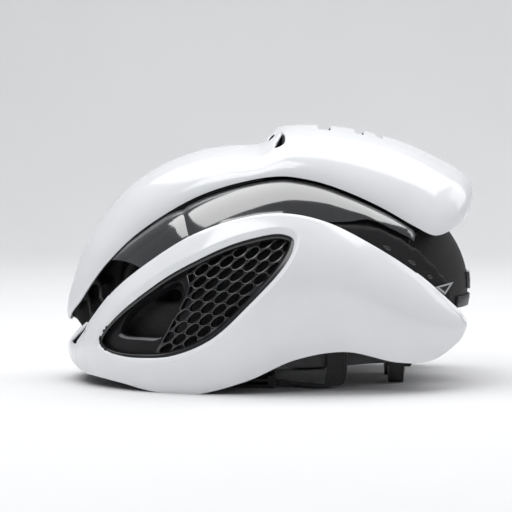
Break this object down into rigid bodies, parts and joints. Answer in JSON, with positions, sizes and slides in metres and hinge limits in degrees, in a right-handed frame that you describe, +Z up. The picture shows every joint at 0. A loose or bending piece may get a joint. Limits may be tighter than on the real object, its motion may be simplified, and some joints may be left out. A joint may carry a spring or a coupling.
{
  "type": "aero road cycling helmet",
  "caption": "Smooth aero road cycling helmet with honeycomb side vents, crown air intake, foam liner, dial fit system and chin straps.",
  "frame": {"origin": "on the standing surface, below the middle of the helmet's box", "axes": "+X from the brow to the rear, +Y to the wearer's right, +Z up; the wearer's left side is at -Y"},
  "size_m": [0.2894, 0.2052, 0.18],
  "materials": {
    "white_shell": "gloss white",
    "foam": "matt black moulded foam",
    "gloss_black": "high gloss black",
    "vent_black": "satin black",
    "reflector_grey": "grey reflective",
    "pad_fabric": "brushed knit over foam",
    "fit_plastic": "matt black nylon",
    "screw_steel": "plated steel",
    "dial_rubber": "soft touch",
    "pinion_plastic": "natural acetal",
    "webbing": "woven black webbing",
    "keeper_rubber": "black rubber"
  },
  "bodies": {
    "helmet": {"eps_liner": "foam", "crown_shell": "white_shell", "scoop_ribs": "white_shell", "left_side_shell": "white_shell", "right_side_shell": "white_shell", "brow_shell": "white_shell", "brow_rim": "white_shell", "left_gloss_band": "gloss_black", "right_gloss_band": "gloss_black", "left_vent_frame": "vent_black", "right_vent_frame": "vent_black", "left_side_grille": "vent_black", "right_side_grille": "vent_black", "rear_reflector": "reflector_grey", "nape_trim": "vent_black", "left_rear_fin": "reflector_grey", "right_rear_fin": "reflector_grey", "brow_pad": "pad_fabric", "left_side_pad": "pad_fabric", "right_side_pad": "pad_fabric", "left_crown_pad": "pad_fabric", "right_crown_pad": "pad_fabric", "left_temple_anchor": "fit_plastic", "right_temple_anchor": "fit_plastic", "hanger_guide": "fit_plastic", "left_front_strap": "webbing", "right_front_strap": "webbing", "left_rear_strap": "webbing", "right_rear_strap": "webbing", "left_chin_strap": "webbing", "right_chin_strap": "webbing", "left_front_anchor": "fit_plastic", "right_front_anchor": "fit_plastic", "left_rear_anchor": "fit_plastic", "right_rear_anchor": "fit_plastic", "left_divider": "fit_plastic", "right_divider": "fit_plastic", "buckle_base": "fit_plastic", "base_magnet": "screw_steel", "chin_pad": "pad_fabric"},
    "cradle": {"cradle_body": "fit_plastic", "cradle_cover": "fit_plastic", "cover_screw_1": "screw_steel", "cover_screw_2": "screw_steel", "cover_screw_3": "screw_steel", "cover_screw_4": "screw_steel", "hanger": "fit_plastic", "left_nape_pad": "pad_fabric", "right_nape_pad": "pad_fabric"},
    "dial": {"dial": "dial_rubber", "dial_pinion": "pinion_plastic"},
    "left_band": {"left_band": "fit_plastic"},
    "right_band": {"right_band": "fit_plastic"},
    "left_lever": {"left_divider_lever": "fit_plastic"},
    "right_lever": {"right_divider_lever": "fit_plastic"},
    "tongue": {"buckle_tongue": "fit_plastic", "tongue_magnet": "screw_steel"},
    "keeper": {"strap_keeper": "keeper_rubber"}
  },
  "joints": [
    {"name": "cradle_swing", "type": "hinge", "parent": "helmet", "child": "cradle", "pos_m": [-0.062, 0, 0.022], "axis": [0, -1, 0], "range_deg": [0, 4]},
    {"name": "dial_turn", "type": "hinge", "parent": "cradle", "child": "dial", "pos_m": [0.0932, 0, 0.022], "axis": [-1, 0, 0], "range_deg": [0, 131]},
    {"name": "left_band_slide", "type": "slide", "parent": "cradle", "child": "left_band", "axis": [0, 1, 0], "range_m": [0, 0.0081]},
    {"name": "right_band_slide", "type": "slide", "parent": "cradle", "child": "right_band", "axis": [0, -1, 0], "range_m": [0, 0.0081]},
    {"name": "left_lever_turn", "type": "hinge", "parent": "helmet", "child": "left_lever", "pos_m": [0.0004, -0.045, 0.0057], "axis": [0, 1, 0], "range_deg": [0, 80]},
    {"name": "right_lever_turn", "type": "hinge", "parent": "helmet", "child": "right_lever", "pos_m": [0.0004, 0.045, 0.0057], "axis": [0, 1, 0], "range_deg": [0, 80]},
    {"name": "buckle_slide", "type": "slide", "parent": "helmet", "child": "tongue", "axis": [1, 0, 0], "range_m": [0, 0.012]},
    {"name": "keeper_slide", "type": "slide", "parent": "helmet", "child": "keeper", "axis": [0, 1, 0], "range_m": [-0.0035, 0.0035]}
  ],
  "couplings": [
    {"joint": "left_band_slide", "follows": "dial_turn", "m_per_rad": 0.0035},
    {"joint": "right_band_slide", "follows": "dial_turn", "m_per_rad": 0.0035}
  ]
}
